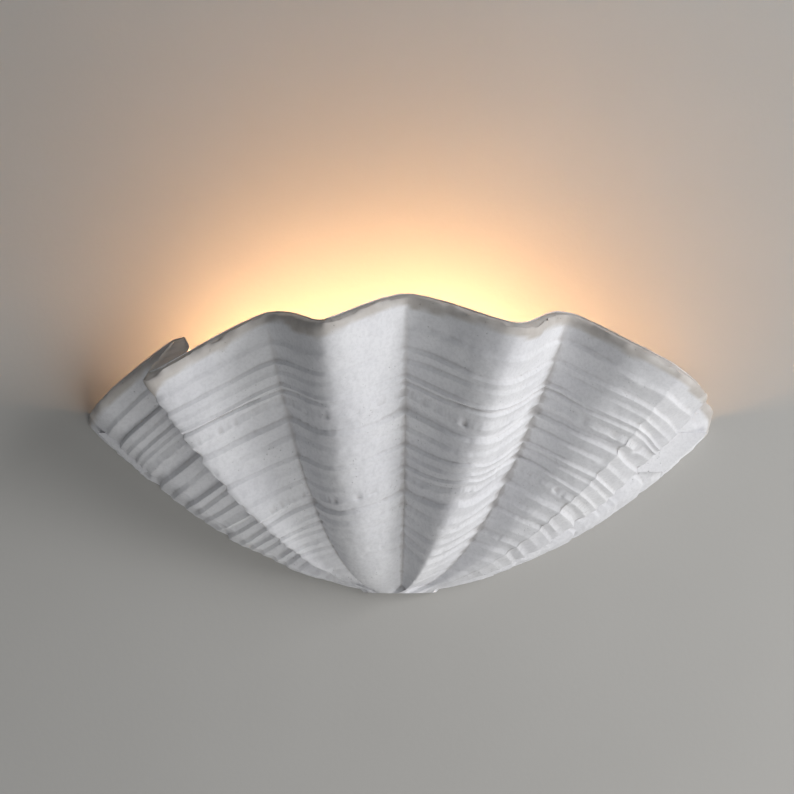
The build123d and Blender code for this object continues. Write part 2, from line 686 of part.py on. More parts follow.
def earth_tag():
    """A ring under the earth screw with a barrel that grips the earth lead."""
    back = POLE_Y + LEAD_RADIUS + EARTH_BARREL_WALL
    front = back - EARTH_TAG_THICK
    top = EARTH_SCREW_Z + EARTH_TAG_RADIUS + EARTH_BARREL_LENGTH
    barrel_radius = LEAD_RADIUS + EARTH_BARREL_WALL
    ring = rod_y(EARTH_SCREW_X, EARTH_SCREW_Z, EARTH_TAG_RADIUS, back, front)
    neck = block(
        (EARTH_SCREW_X - barrel_radius, EARTH_SCREW_X + barrel_radius),
        (front, back),
        (EARTH_SCREW_Z, EARTH_SCREW_Z + EARTH_TAG_RADIUS + EARTH_NECK),
    )
    middle = (EARTH_SCREW_X, POLE_Y, top - EARTH_BARREL_LENGTH / 2)
    barrel = Pos(*middle) * Cylinder(barrel_radius, EARTH_BARREL_LENGTH)
    tag = ring + neck + barrel - Pos(*middle) * Cylinder(LEAD_RADIUS, EARTH_BARREL_LENGTH)
    return tag - rod_y(EARTH_SCREW_X, EARTH_SCREW_Z, EARTH_SCREW_RADIUS + FIT_GAP, back, front)


def earth_screw():
    seat = POLE_Y + LEAD_RADIUS + EARTH_BARREL_WALL - EARTH_TAG_THICK
    face = seat - EARTH_HEAD
    screw = rod_y(EARTH_SCREW_X, EARTH_SCREW_Z, EARTH_SCREW_RADIUS, 0, seat)
    screw = screw + rod_y(EARTH_SCREW_X, EARTH_SCREW_Z, EARTH_HEAD_RADIUS, seat, face)
    return screw - driver_slot(EARTH_SCREW_X, EARTH_SCREW_Z, EARTH_HEAD_RADIUS, face)


def lead(corners):
    """A round insulated lead through one bend."""
    start, bend, end = (Vector(*corner) for corner in corners)
    path = FilletPolyline(start, bend, end, radius=LEAD_BEND)
    profile = Plane(origin=start, z_dir=bend - start) * Circle(LEAD_RADIUS)
    return sweep(profile, path=path)


def holder_lead(pole):
    """From a pole of the block to the lampholder's base."""
    z = LAMP_Z + POLE_OFFSETS[pole]
    inside_pole = BLOCK_X - INSERT_LENGTH / 2 + LEAD_INSIDE_POLE
    inside_holder = LAMP_Y + HOLDER_RADIUS - HOLDER_WALL - LEAD_INSIDE_HOLDER
    return lead([(inside_pole, POLE_Y, z), (LEAD_X, POLE_Y, z), (LEAD_X, inside_holder, z)])


def earth_lead():
    inside_pole = BLOCK_X + INSERT_LENGTH / 2 - LEAD_INSIDE_POLE
    end = EARTH_SCREW_Z + EARTH_TAG_RADIUS + EARTH_NECK
    return lead([(inside_pole, POLE_Y, LAMP_Z), (EARTH_SCREW_X, POLE_Y, LAMP_Z), (EARTH_SCREW_X, POLE_Y, end)])


PIECES = {
    "plaster_shell": plaster_shell,
    "left_hanger": lambda: hanger(-1),
    "right_hanger": lambda: hanger(1),
    "wall_plate": wall_plate,
    "cable_grommet": cable_grommet,
    "lamp_arm": lamp_arm,
    "arm_rivets": arm_rivets,
    "entry_nipple": entry_nipple,
    "arm_washer": arm_washer,
    "lock_nut": lock_nut,
    "holder_base": holder_base,
    "holder_sleeve": holder_sleeve,
    "holder_liner": holder_liner,
    "centre_contact": centre_contact,
    "side_contact": side_contact,
    "bulb_globe": bulb_globe,
    "bulb_collar": bulb_collar,
    "bulb_cap": bulb_cap,
    "bulb_insulator": bulb_insulator,
    "bulb_tip": bulb_tip,
    "terminal_block": terminal_block,
    "terminal_inserts": terminal_inserts,
    "terminal_screws": terminal_screws,
    "block_screw": block_screw,
    "earth_tag": earth_tag,
    "earth_screw": earth_screw,
    "live_lead": lambda: holder_lead("live"),
    "neutral_lead": lambda: holder_lead("neutral"),
    "earth_lead": earth_lead,
}

for name, make in PIECES.items():
    save(name, make())
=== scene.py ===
"""Looks for the plaster clam-shell wall light. Metres, +Z up, the wall is the plane y = 0."""

import json
import math

import bpy
import numpy as np
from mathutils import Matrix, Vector


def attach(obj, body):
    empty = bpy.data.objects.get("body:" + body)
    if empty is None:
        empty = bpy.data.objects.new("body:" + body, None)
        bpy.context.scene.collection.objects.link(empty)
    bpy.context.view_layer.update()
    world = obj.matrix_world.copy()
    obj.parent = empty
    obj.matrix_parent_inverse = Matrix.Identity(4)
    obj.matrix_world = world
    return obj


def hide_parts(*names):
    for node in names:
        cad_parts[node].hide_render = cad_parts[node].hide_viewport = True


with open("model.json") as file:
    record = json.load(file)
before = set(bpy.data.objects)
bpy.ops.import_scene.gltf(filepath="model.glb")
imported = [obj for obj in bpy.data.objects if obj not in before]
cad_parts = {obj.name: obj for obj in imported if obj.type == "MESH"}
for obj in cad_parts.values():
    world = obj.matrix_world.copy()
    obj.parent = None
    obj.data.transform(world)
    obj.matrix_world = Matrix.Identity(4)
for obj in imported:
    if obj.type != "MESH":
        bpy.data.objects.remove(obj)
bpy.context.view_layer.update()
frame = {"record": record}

MM = 0.001

# ---------------------------------------------------------------- the photograph's frame
IMAGE_SIZE = 794  # pixels, square
MM_PER_PIXEL = 0.714  # at the wall
CAMERA_DISTANCE = 1500.0  # mm from the wall
CENTRE_PIXEL = IMAGE_SIZE / 2
SHELL_MIDDLE_PIXEL = 400.0  # image column of x = 0
UMBO_PIXEL = 592.0  # image row of the shell's lowest point
UMBO_DROP = 104.0  # mm from the wall plate's centre down to the shell's lowest point
SENSOR = 36.0

# ---------------------------------------------------------------- the shell's form
# Places and sizes are in mm, from the umbo at the wall.
# A point at growth s (0 umbo, 1 rim) lies at (x * s**x_power, y * s**y_power, z * s**z_power).
# sharpness is 0 for a round fold, 1 for a sharp groove and -1 for a sharp crest.
RIB_STATIONS = [
    # name          x     y    z  x_pow y_pow z_pow sharpness
    ("left_edge", -225, 0, 121, 0.62, 1.00, 1.18, 0.0),
    ("crest_a", -209, -44, 136, 0.57, 0.80, 1.15, 0.2),
    ("groove_ab", -160, -44, 177, 0.52, 0.90, 1.05, 0.8),
    ("crest_b", -171, -108, 150, 0.52, 0.70, 1.00, 0.2),
    ("groove_bc", -90, -100, 193, 0.38, 0.80, 1.02, 0.6),
    ("crest_c", -50, -150, 186, 0.32, 0.72, 1.13, 0.0),
    ("groove_cd", 4, -128, 204, 0.50, 0.75, 1.08, 0.9),
    ("crest_d", 78, -156, 183, 0.84, 0.72, 1.27, 0.0),
    ("groove_de", 113, -100, 193, 0.50, 0.80, 1.00, 0.9),
    ("flank_e", 152, -123, 172, 0.53, 0.76, 1.00, 0.0),
    ("crest_e", 186, -118, 154, 0.55, 0.75, 1.00, -0.9),
    ("edge_e", 212, -66, 139, 0.58, 0.80, 1.10, -0.8),
    ("groove_ef", 197, -34, 150, 0.58, 0.90, 1.15, 0.3),
    ("crest_f", 222, -16, 129, 0.60, 0.90, 1.16, 0.1),
    ("right_edge", 222, 0, 114, 0.62, 1.00, 1.18, 0.0),
]
RIM_ROUNDING = 0.8  # how much rounder the folds are at the rim
SHELL_WALL = 9.0
BROAD_RIM = (2.55, 0.33, 20.0)  # place, spread and extra thickness of the broad rim left of crest B
FLOOR_HEIGHT = 22.0  # of the hollow's floor
FLOOR_SIZE = (34.0, 15.0)  # half width and depth
UMBO_SIZE = (26.0, 10.0)  # the same of the underside
LUG_INNER_X = 152.0
LUG_RANGE = (-18.0, 10.0)  # from the wall plate's centre
LUG_DEPTH = 17.0
LUG_SETBACK = 0.15  # from the back edge to the lug's back, so that no two faces share a plane
LUG_BACK_REACH = 1.2  # points this near to the wall lie on the lug's back
LUG_WEAR, LUG_WEAR_SIZE = 0.35, 9
LUG_CELLS = 11  # mesh cells along each side of a lug's face
FIRST_GROWTH = 0.03  # the outer face's lowest row
FIRST_INNER = 0.05  # the hollow's lowest row
ON_WALL = 0.05  # how near to the wall a point may come, other than the back edges

# Each growth ledge: growth stage, height in mm, growth over which it drops back, and roughness
GROWTH_LEDGES = [
    (0.055, 0.5, 0.008, 0.2), (0.085, 0.8, 0.008, 0.3), (0.11, 1.2, 0.010, 0.4), (0.15, 0.9, 0.009, 0.3),
    (0.185, 1.3, 0.010, 0.4), (0.22, 2.0, 0.012, 0.7), (0.262, 1.2, 0.010, 0.3), (0.295, 1.0, 0.010, 0.3),
    (0.33, 1.8, 0.012, 0.5), (0.372, 1.2, 0.010, 0.3), (0.42, 4.0, 0.020, 1.0), (0.462, 1.1, 0.009, 0.2),
    (0.50, 1.6, 0.011, 0.3), (0.535, 1.0, 0.009, 0.2), (0.592, 2.1, 0.012, 0.5), (0.642, 1.5, 0.011, 0.3),
    (0.70, 4.2, 0.022, 1.0), (0.738, 1.2, 0.010, 0.2), (0.76, 1.7, 0.010, 0.3), (0.805, 1.6, 0.011, 0.3),
    (0.84, 1.1, 0.010, 0.2), (0.906, 1.9, 0.011, 0.3),
]
RIM_TREAD = (1.2, 0.6)  # height and roughness of the last tread, which ends at the rim
# Rows of a tread, from its foot (0) to its lip (1)
THIN_ROWS = [0.0, 0.16, 0.45, 0.75, 0.93, 1.0]
BOLD_ROWS = [0.0, 0.08, 0.2, 0.35, 0.5, 0.65, 0.79, 0.9, 0.965, 1.0]
BOLD_HEIGHT = 1.4  # mm, least height of a ledge with the finer rows
# By how much the ledge lines bend away from even growth, from left to right over the stations
LEDGE_BEND = ([0, 3, 5, 6, 7, 8, 10, 14], [0.0, -0.075, -0.01, 0.015, 0.085, 0.05, 0.02, 0.0])
# How bold the ledges are over the stations: deep on both sides, faint in the middle
LEDGE_DEPTH = (
    [0, 0.6, 2, 3.2, 4, 4.6, 5.6, 6.2, 7, 8, 10.6, 11.4, 14],
    [0.5, 1.2, 1.4, 0.95, 0.7, 0.5, 0.6, 0.9, 1.1, 1.1, 1.1, 0.5, 0.3],
)
DEEPEST = (1.3, 3.5)  # mm under the form: at the umbo, and what the rim adds
SKIN = 0.4  # mm of the outer face under the form, which leaves room for the lumps
SQUARE_TIP = 0.14  # growth up to which the sides are square to the wall

# Where the ledge lines run: a reach is in growth, a size in mm
BEND_MIDDLE, BEND_REACH = 0.42, 0.26
RIM_REACH, TIP_REACH = 0.06, 0.08  # over these the lines' wander and crumbling fade, to the rim and the umbo
OWN_WANDER, OWN_WANDER_SIZE = 0.0075, 27  # of each line by itself
SHARED_WANDER, SHARED_WANDER_SIZE = 0.006, 60  # of neighbouring lines together
WANDER_POWER = 0.4  # how the wander grows with the shell
RIPPLE, RIPPLE_SIZE = 0.0020, 4.5  # of a rough line's edge
LINE_SHIFT, PATCH_SHIFT = 53, 31  # mm in the noise from one line to the next
LINE_STRETCH, PATCH_STRETCH, BRUSH_STRETCH = [1, 1, 0.2], [1, 1, 0.4], [1, 1, 0.5]  # draw noise out along z

# How high the treads stand. Thin ledges come and go in patches, bold ones run all along.
BOLD_FROM, BOLD_OVER = 2.2, 1.3  # mm of height at which ledges start to be bold, and over which they get so
PATCH_SIZE, PATCH_MIDDLE, PATCH_SWING = 38, 0.9, 0.8
PATCH_RANGE = (0.25, 1.5)  # share of its height that a thin ledge has
BOLD_RANGE = (0.75, 1.1)  # and a bold one
LOW_UNTIL, LOWEST = 0.25, 0.4  # growth up to which ledges are lower, and the least share of their height
TREAD_CURVE = 1.2

# How the treads crumble: sizes and depths in mm, places in shares of a tread
LIP_FROM, LIP_RUN = 0.7, 0.25
CHIP_SIZE, CHIP_DEPTH, CHIP_SHARE, CHIP_FROM = 5.0, 1.2, 0.35, 0.05
PIT_SIZE, PIT_DEPTH, PIT_FROM = 2.6, 1.1, 0.25
LIP_WEAR, WEAR_FROM, WEAR_RUN = 0.12, 0.93, 0.07
CREVICE_DEPTH, CREVICE_UNTIL = 1.2, 0.3
LUMP_SIZE, LUMP_HEIGHT = 24, 1.1
DIMPLE_SIZE, DIMPLE_HEIGHT = 6, 0.30

# The rim, in mm, and in growth down the outer face
SHOULDER, SHOULDER_REACH = 2.2, 0.025  # by which the outer face rounds over
SHOULDER_WEAR, SHOULDER_WEAR_SIZE = 1.1, 9
NIBBLE_SIZE, NIBBLE_DEPTH, NIBBLE_FROM = 11, 3.6, -0.02
NIBBLE_SHARES = (1, 0.7, 0.3)  # on the rim's row and the two under it
CROWN, CROWN_CURVE, CROWN_SUNK = 0.9, 0.7, 1.1
COARSE_WEAR, COARSE_WEAR_SIZE = 0.45, 14
FINE_WEAR, FINE_WEAR_SIZE = 0.275, 3.6
RIM_PIT_SIZE, RIM_PIT_DEPTH, RIM_PIT_FROM = 3.0, 1.6, 0.55
STAIN_WIDTH, STAIN_SWING, STAIN_SIZE, STAIN_EDGE = 0.034, 0.020, 18, 0.010
STAIN_PATCH = (2.75, 0.35, 0.09)  # station, spread and extra width of the widest patch

# Trowel and brush marks in the hollow, mm, and the growth over which they fade
TROWEL_SIZE, TROWEL_DEPTH = 22, 0.7
BRUSH_SIZE, BRUSH_DEPTH = 5, 0.25
MARKS_RIM_REACH, MARKS_FLOOR_REACH = 0.08, 0.2
MARKS_RISE = 60  # how steeply they stand up

# The mesh
OUTER_COLUMNS = 471
INNER_EVERY = 2  # outer columns to each inner one
INNER_ROW_EVERY = 6  # outer rows to each inner one
RIM_ROWS = [0.06, 0.22, 0.5, 0.78, 0.94]  # shares of the rim's width
RIM_SAMPLES = 4000
NORMAL_STEP = 0.02
SHARP_EDGE = 62  # degrees


# ================================================================ noise
def hashed(i, j, k, seed):
    """A repeatable number in 0..1 for each lattice point."""
    n = (i * 73856093) ^ (j * 19349663) ^ (k * 83492791) ^ (seed * 2654435761)
    n = (n ^ (n >> 13)) * 1274126177 & 0xFFFFFFFF
    n = (n ^ (n >> 16)) & 0xFFFFFF
    return n / float(0xFFFFFF)


def noise(points, size, seed):
    """Smooth value noise in -1..1, with cells of the given size."""
    q = np.asarray(points, dtype=np.float64) / size
    cell = np.floor(q).astype(np.int64)
    f = q - cell
    f = f * f * (3 - 2 * f)
    total = np.zeros(q.shape[:-1])
    for a in (0, 1):
        wa = f[..., 0] if a else 1 - f[..., 0]
        for b in (0, 1):
            wb = f[..., 1] if b else 1 - f[..., 1]
            for c in (0, 1):
                wc = f[..., 2] if c else 1 - f[..., 2]
                total += wa * wb * wc * hashed(cell[..., 0] + a, cell[..., 1] + b, cell[..., 2] + c, seed)
    return total * 2 - 1


def layered(points, size, seed, octaves=2):
    """Noise with finer noise on it, in -1..1."""
    total, weight, norm = 0.0, 1.0, 0.0
    for octave in range(octaves):
        total = total + weight * noise(points, size / 2**octave, seed + octave)
        norm += weight
        weight *= 0.5
    return total / norm


# ================================================================ the shell's form
STATION = np.array([row[1:] for row in RIB_STATIONS], dtype=float)
LAST = len(RIB_STATIONS) - 1


def station_values(position, growth):
    """x, y, z and the three powers at places between the stations, as in the CAD."""
    left = np.clip(np.floor(position).astype(int), 0, LAST - 1)
    share = (position - left)[..., None]
    here, there = STATION[left], STATION[left + 1]
    before, after = STATION[np.maximum(left - 1, 0)], STATION[np.minimum(left + 2, LAST)]

    def span(a, b):
        return np.maximum(np.linalg.norm(a[..., :3] - b[..., :3], axis=-1), 1e-9)[..., None] ** 0.5

    middle, first, third = span(here, there), span(before, here), span(there, after)
    chord = there - here
    at_start = (left == 0)[..., None]
    at_end = (left == LAST - 1)[..., None]
    smooth_in = chord + middle * ((here - before) / first - (there - before) / (first + middle))
    smooth_out = chord + middle * ((after - there) / third - (after - here) / (middle + third))
    smooth_in = np.where(at_start, chord, smooth_in)
    smooth_out = np.where(at_end, chord, smooth_out)
    softening = (1 - RIM_ROUNDING * growth**3)[..., None]
    sharp_in, sharp_out = here[..., 6:7] * softening, there[..., 6:7] * softening
    plain_in = smooth_in + abs(sharp_in) * (chord - smooth_in)
    plain_out = smooth_out + abs(sharp_out) * (chord - smooth_out)
    side_in = np.where(sharp_in > 0, 2 * chord - plain_out, chord)
    side_out = np.where(sharp_out > 0, 2 * chord - plain_in, chord)
    slope_in = smooth_in + abs(sharp_in) * (side_in - smooth_in)
    slope_out = smooth_out + abs(sharp_out) * (side_out - smooth_out)
    return (
        (2 * share**3 - 3 * share**2 + 1) * here
        + (share**3 - 2 * share**2 + share) * slope_in
        + (3 * share**2 - 2 * share**3) * there
        + (share**3 - share**2) * slope_out
    )


def form_points(position, growth):
    """Points of the smooth form at places over the stations and stages of growth."""
    v = station_values(position, growth)
    return np.stack([v[..., c] * growth ** v[..., c + 3] for c in range(3)], -1)


def unit(v):
    return v / np.maximum(np.linalg.norm(v, axis=-1, keepdims=True), 1e-12)


def rising(value, start, run):
    """0 up to start, 1 from start + run."""
    return np.clip((value - start) / run, 0, 1)


def form_normals(position, growth):
    """The form's outward normals."""
    after = form_points(np.minimum(position + NORMAL_STEP, LAST), growth)
    before = form_points(np.maximum(position - NORMAL_STEP, 0), growth)
    above = form_points(position, np.minimum(growth + NORMAL_STEP, 1))
    below = form_points(position, growth - NORMAL_STEP / 2)
    return unit(np.cross(after - before, above - below))


def even_positions(count):
    """Places along the rim at even arc length."""
    dense = np.linspace(0, LAST, RIM_SAMPLES)
    rim = form_points(dense, np.ones_like(dense))
    length = np.concatenate([[0], np.cumsum(np.linalg.norm(np.diff(rim, axis=0), axis=1))])
    places = np.interp(np.linspace(0, length[-1], count), length, dense)
    for station in range(1, LAST):  # a column on each station
        places[np.argmin(abs(places - station))] = station
    return places


def growth_rows():
    """The outer face's rows: growth, place in the tread (0 foot, 1 lip), ledge height, roughness, number."""
    rows = []
    foot = FIRST_GROWTH
    ledges = [*GROWTH_LEDGES, (1.0, RIM_TREAD[0], 0, RIM_TREAD[1])]
    for number, (growth, height, run, rough) in enumerate(ledges):
        for share in BOLD_ROWS if height > BOLD_HEIGHT or growth == 1 else THIN_ROWS:
            rows.append((foot + (growth - foot) * share, share, height, rough, number))
        foot = growth + run
    return np.array(rows)


def wandered(position, growth, share, rough, number, inside):
    """Growth with the ledge lines bent and wandering, each in its own way."""
    base = form_points(position, growth)
    bend = np.interp(position, *LEDGE_BEND) * np.clip(1 - abs(growth - BEND_MIDDLE) / BEND_REACH, 0, 1)
    drawn_out = base * LINE_STRETCH
    lip_line = noise(drawn_out + LINE_SHIFT * number[..., None], OWN_WANDER_SIZE, 3)
    foot_line = noise(drawn_out + LINE_SHIFT * (number[..., None] - 1), OWN_WANDER_SIZE, 3)
    alone = OWN_WANDER * (share * lip_line + (1 - share) * foot_line)
    together = SHARED_WANDER * noise(base, SHARED_WANDER_SIZE, 5)
    ripple = RIPPLE * rough * noise(base, RIPPLE_SIZE, 8)
    return growth + inside * (bend + (alone + together) * growth**WANDER_POWER + ripple)


def lip_height(position, growth, base, height, number):
    """How far a tread's lip stands over its foot."""
    patches = noise(base * PATCH_STRETCH + PATCH_SHIFT * number[..., None], PATCH_SIZE, 21)
    thin = np.clip(PATCH_MIDDLE + PATCH_SWING * patches, *PATCH_RANGE)
    bold_share = rising(height, BOLD_FROM, BOLD_OVER)
    lip = height * np.interp(position, *LEDGE_DEPTH)
    lip = lip * (thin * (1 - bold_share) + np.clip(thin, *BOLD_RANGE) * bold_share)
    return lip * np.clip(growth / LOW_UNTIL, LOWEST, 1)


def crumbled(base, share, rough, lip, inside):
    """How much has broken away: chips and pits by the lip, wear along it and crevices at the foot."""
    chips = layered(base, CHIP_SIZE, 31)
    pits = noise(base, PIT_SIZE, 35)
    near_lip = rising(share, LIP_FROM, LIP_RUN) * inside
    gone = rough * (CHIP_SHARE * lip + CHIP_DEPTH) * np.clip(chips - CHIP_FROM, 0, 1) * near_lip
    gone = gone + PIT_DEPTH * rough**2 * np.clip(pits - PIT_FROM, 0, 1) * near_lip
    gone = gone + LIP_WEAR * lip * rising(share, WEAR_FROM, WEAR_RUN)
    return gone + CREVICE_DEPTH * (1 - rising(share, 0, CREVICE_UNTIL)) * np.clip(-chips, 0, 1) * rough


def waviness(base, growth, inside):
    """Lumps and dimples all over, and the worn shoulder where the outer face meets the rim."""
    lumps = LUMP_HEIGHT * layered(base, LUMP_SIZE, 17) + DIMPLE_HEIGHT * layered(base, DIMPLE_SIZE, 19)
    worn = 1 + SHOULDER_WEAR * layered(base, SHOULDER_WEAR_SIZE, 63)
    shoulder = SHOULDER * rising(growth, 1 - SHOULDER_REACH, SHOULDER_REACH) ** 2 * worn
    return lumps * inside - SKIN - shoulder


def square_tip(points, position, growth):
    """By the umbo the sides are square to the wall, out to the widest fold."""
    tip = growth.mean(1)[:, None] < SQUARE_TIP
    x = points[..., 0]
    x = np.where(tip & (position < 1), x.min(1)[:, None], x)
    points[..., 0] = np.where(tip & (position > LAST - 1), x.max(1)[:, None], x)


def outer_face():
    """The outer face as a grid: smooth form, growth treads with worn lips and slight waviness."""
    rows = growth_rows()
    places = even_positions(OUTER_COLUMNS)
    position, growth = np.meshgrid(places, rows[:, 0])
    share, height, rough, number = (np.repeat(rows[:, i : i + 1], len(places), 1) for i in (1, 2, 3, 4))
    inside = rising(1 - growth, 0, RIM_REACH) * rising(growth, 0, TIP_REACH)
    growth = wandered(position, growth, share, rough, number, inside)
    base = form_points(position, growth)
    lip = lip_height(position, growth, base, height, number)
    offset = -lip * (1 - share**TREAD_CURVE) - crumbled(base, share, rough, lip, inside)
    offset = offset + waviness(base, growth, inside)
    offset = np.clip(offset, -(DEEPEST[0] + DEEPEST[1] * growth), 0)
    points = base + form_normals(position, growth) * offset[..., None]
    square_tip(points, position, growth)
    return position, growth, settle(points)


def settle(points):
    """Both side edges lie on the wall and nothing passes through it."""
    points[..., 1] = np.minimum(points[..., 1], -ON_WALL)
    points[:, 0, 1] = 0
    points[:, -1, 1] = 0
    return points


def half_ellipse(places, half_width, depth, height):
    angle = math.pi * (places - places[0]) / (places[-1] - places[0])
    points = np.stack([-half_width * np.cos(angle), -depth * np.sin(angle), np.full_like(angle, height)], -1)
    points[0, 1] = points[-1, 1] = 0
    return points


def inner_face(position, growth):
    """The hollow: its rim lies one wall inside the form's rim and its floor over the umbo."""
    place, spread, extra = BROAD_RIM
    thick = SHELL_WALL + extra * np.exp(-(((position - place) / spread) ** 2)) * growth**7
    full = np.ones_like(growth)
    rim = form_points(position, full) - form_normals(position, full) * thick[..., None]
    rim[..., 1] = np.minimum(rim[..., 1], -ON_WALL)
    rim[..., 2] -= FLOOR_HEIGHT
    points = rim * growth[..., None] ** station_values(position, growth)[..., 3:6]
    points[..., 2] += FLOOR_HEIGHT
    # trowel and brush marks, which thicken the wall
    trowel = TROWEL_DEPTH * (1 + layered(points, TROWEL_SIZE, 41)) / 2
    brush = BRUSH_DEPTH * (1 + noise(points * BRUSH_STRETCH, BRUSH_SIZE, 43)) / 2
    fade = rising(1 - growth, 0, MARKS_RIM_REACH) * rising(growth, 0, MARKS_FLOOR_REACH)
    inward = unit(np.stack([-rim[..., 0], np.zeros_like(growth), np.full_like(growth, MARKS_RISE)], -1))
    return settle(points + inward * ((trowel + brush) * fade)[..., None])


def rim_rows(outer_rim, inner_rim):
    """Rows of the rim's broken face, from the outer edge to the inner one."""
    across = inner_rim - outer_rim
    along = np.gradient(outer_rim, axis=0)
    up = unit(np.cross(unit(along), unit(across)))
    up = np.where(up[:, 2:3] < 0, -up, up)
    rows = []
    for share in RIM_ROWS:
        point = outer_rim + across * share
        crown = CROWN * math.sin(math.pi * share) ** CROWN_CURVE - CROWN_SUNK
        coarse = COARSE_WEAR * layered(point, COARSE_WEAR_SIZE, 51)
        fine = FINE_WEAR * layered(point, FINE_WEAR_SIZE, 53)
        pits = RIM_PIT_DEPTH * np.clip(noise(point, RIM_PIT_SIZE, 57) - RIM_PIT_FROM, 0, 1)
        rows.append(point + up * (crown + coarse + fine - pits)[:, None])
    return settle(np.array(rows))


def stained_rim(position, growth, points):
    """How far the rim's tan stain reaches down the outer face, widest left of crest B."""
    place, spread, extra = STAIN_PATCH
    width = STAIN_WIDTH + STAIN_SWING * layered(points, STAIN_SIZE, 71, octaves=3)
    width = width + extra * np.exp(-(((position - place) / spread) ** 2))
    return rising(growth, 1 - width, STAIN_EDGE)


def shell_grids():
    """The outer and inner faces as grids, the outer row beside each inner one, and the rim's stain."""
    position, growth, outer = outer_face()
    places = position[0]
    outer = np.concatenate([half_ellipse(places, *UMBO_SIZE, 0)[None], outer])
    nibble = NIBBLE_DEPTH * np.clip(layered(outer[-1], NIBBLE_SIZE, 61, octaves=3) - NIBBLE_FROM, 0, 1)
    for row, share in enumerate(NIBBLE_SHARES, 1):
        outer[-row, :, 2] -= nibble * share
    inner_places = places[::INNER_EVERY]
    if inner_places[-1] != places[-1]:
        raise ValueError("the inner columns miss the right edge")
    beside = sorted(range(outer.shape[0] - 1, 0, -INNER_ROW_EVERY))
    stages = np.clip(np.concatenate([[0.0], growth.mean(1)])[beside], FIRST_INNER, 1)
    stages = FIRST_INNER + (1 - FIRST_INNER) * (stages - stages[0]) / (stages[-1] - stages[0])
    inner = inner_face(*np.meshgrid(inner_places, stages))
    inner[0] = half_ellipse(inner_places, *FLOOR_SIZE, FLOOR_HEIGHT)
    return places, outer, inner, beside, stained_rim(position, growth, outer[1:])


def grid_faces(start, rows, columns):
    """The faces of a grid of points, of which the first has the number start."""
    corners = [start + r * columns + c for r in range(rows - 1) for c in range(columns - 1)]
    return [(i, i + 1, i + columns + 1, i + columns) for i in corners]


def lug_faces(side):
    """The lug inside the back edge that holds a hanger's end, as six worn faces. side is -1 on the left."""
    low, high = UMBO_DROP + LUG_RANGE[0], UMBO_DROP + LUG_RANGE[1]
    x, _, z, x_power, _, z_power = RIB_STATIONS[0 if side < 0 else -1][1:7]
    ends = [abs(x) * (height / z) ** (x_power / z_power) - SHELL_WALL / 2 for height in (low, high)]
    outline = [(LUG_INNER_X, low), (ends[0], low), (ends[1], high), (LUG_INNER_X, high)]
    front = np.array([(side * a, -LUG_DEPTH, b) for a, b in outline])
    back = np.array([(side * a, 0, b) for a, b in outline])
    quads = [(front[0], front[1], front[2], front[3]), (back[3], back[2], back[1], back[0])]
    quads += [(back[k], back[(k + 1) % 4], front[(k + 1) % 4], front[k]) for k in range(4)]
    middle = (front.mean(0) + back.mean(0)) / 2
    count = LUG_CELLS + 1
    shares = np.linspace(0, 1, count)
    u, v = (a[..., None] for a in np.meshgrid(shares, shares))
    verts, faces = [], []
    for a, b, c, d in quads:
        grid = (a * (1 - u) + b * u) * (1 - v) + (d * (1 - u) + c * u) * v
        worn = LUG_WEAR + LUG_WEAR * layered(grid, LUG_WEAR_SIZE, 81)
        grid = grid + unit(middle - grid) * worn[..., None]
        at_back = abs(grid[..., 1]) < LUG_BACK_REACH
        grid[..., 1] = np.where(at_back, -LUG_SETBACK, grid[..., 1])
        rings = grid_faces(len(verts), count, count)
        faces += rings if side > 0 else [ring[::-1] for ring in rings]
        verts += grid.reshape(-1, 3).tolist()
    return verts, faces


def shell_faces(rows, columns, beside, inner_rows, inner_columns):
    """The faces of the shell without its lugs. The outer rows take in the rim's own rows."""
    start = rows * columns
    outer_rows = rows - len(RIM_ROWS)

    def outer(r, c):
        return r * columns + c

    def inner(r, c):
        return start + r * inner_columns + c

    faces = grid_faces(0, rows, columns)
    faces += [(a, d, c, b) for a, b, c, d in grid_faces(start, inner_rows, inner_columns)]
    # the rim's last row meets the inner rim, which has fewer columns
    for c in range(inner_columns - 1):
        edge = [outer(rows - 1, c * INNER_EVERY + k) for k in range(INNER_EVERY + 1)]
        faces.append((*edge, inner(inner_rows - 1, c + 1), inner(inner_rows - 1, c)))
    # the back edges on the wall
    bounds = [0, *beside[1:-1], outer_rows - 1]
    for is_right, (c, inner_c) in enumerate(((0, 0), (columns - 1, inner_columns - 1))):
        for r in range(inner_rows - 1):
            end = rows if r == inner_rows - 2 else bounds[r + 1] + 1
            run = [outer(k, c) for k in range(bounds[r], end)]
            ring = (*run, inner(r + 1, inner_c), inner(r, inner_c))
            faces.append(ring[::-1] if is_right else ring)
    # the umbo's underside, the hollow's floor and the back between them
    faces.append(tuple(outer(0, c) for c in range(columns))[::-1])
    faces.append(tuple(inner(0, c) for c in range(inner_columns)))
    faces.append((outer(0, 0), inner(0, 0), inner(0, inner_columns - 1), outer(0, columns - 1)))
    return faces


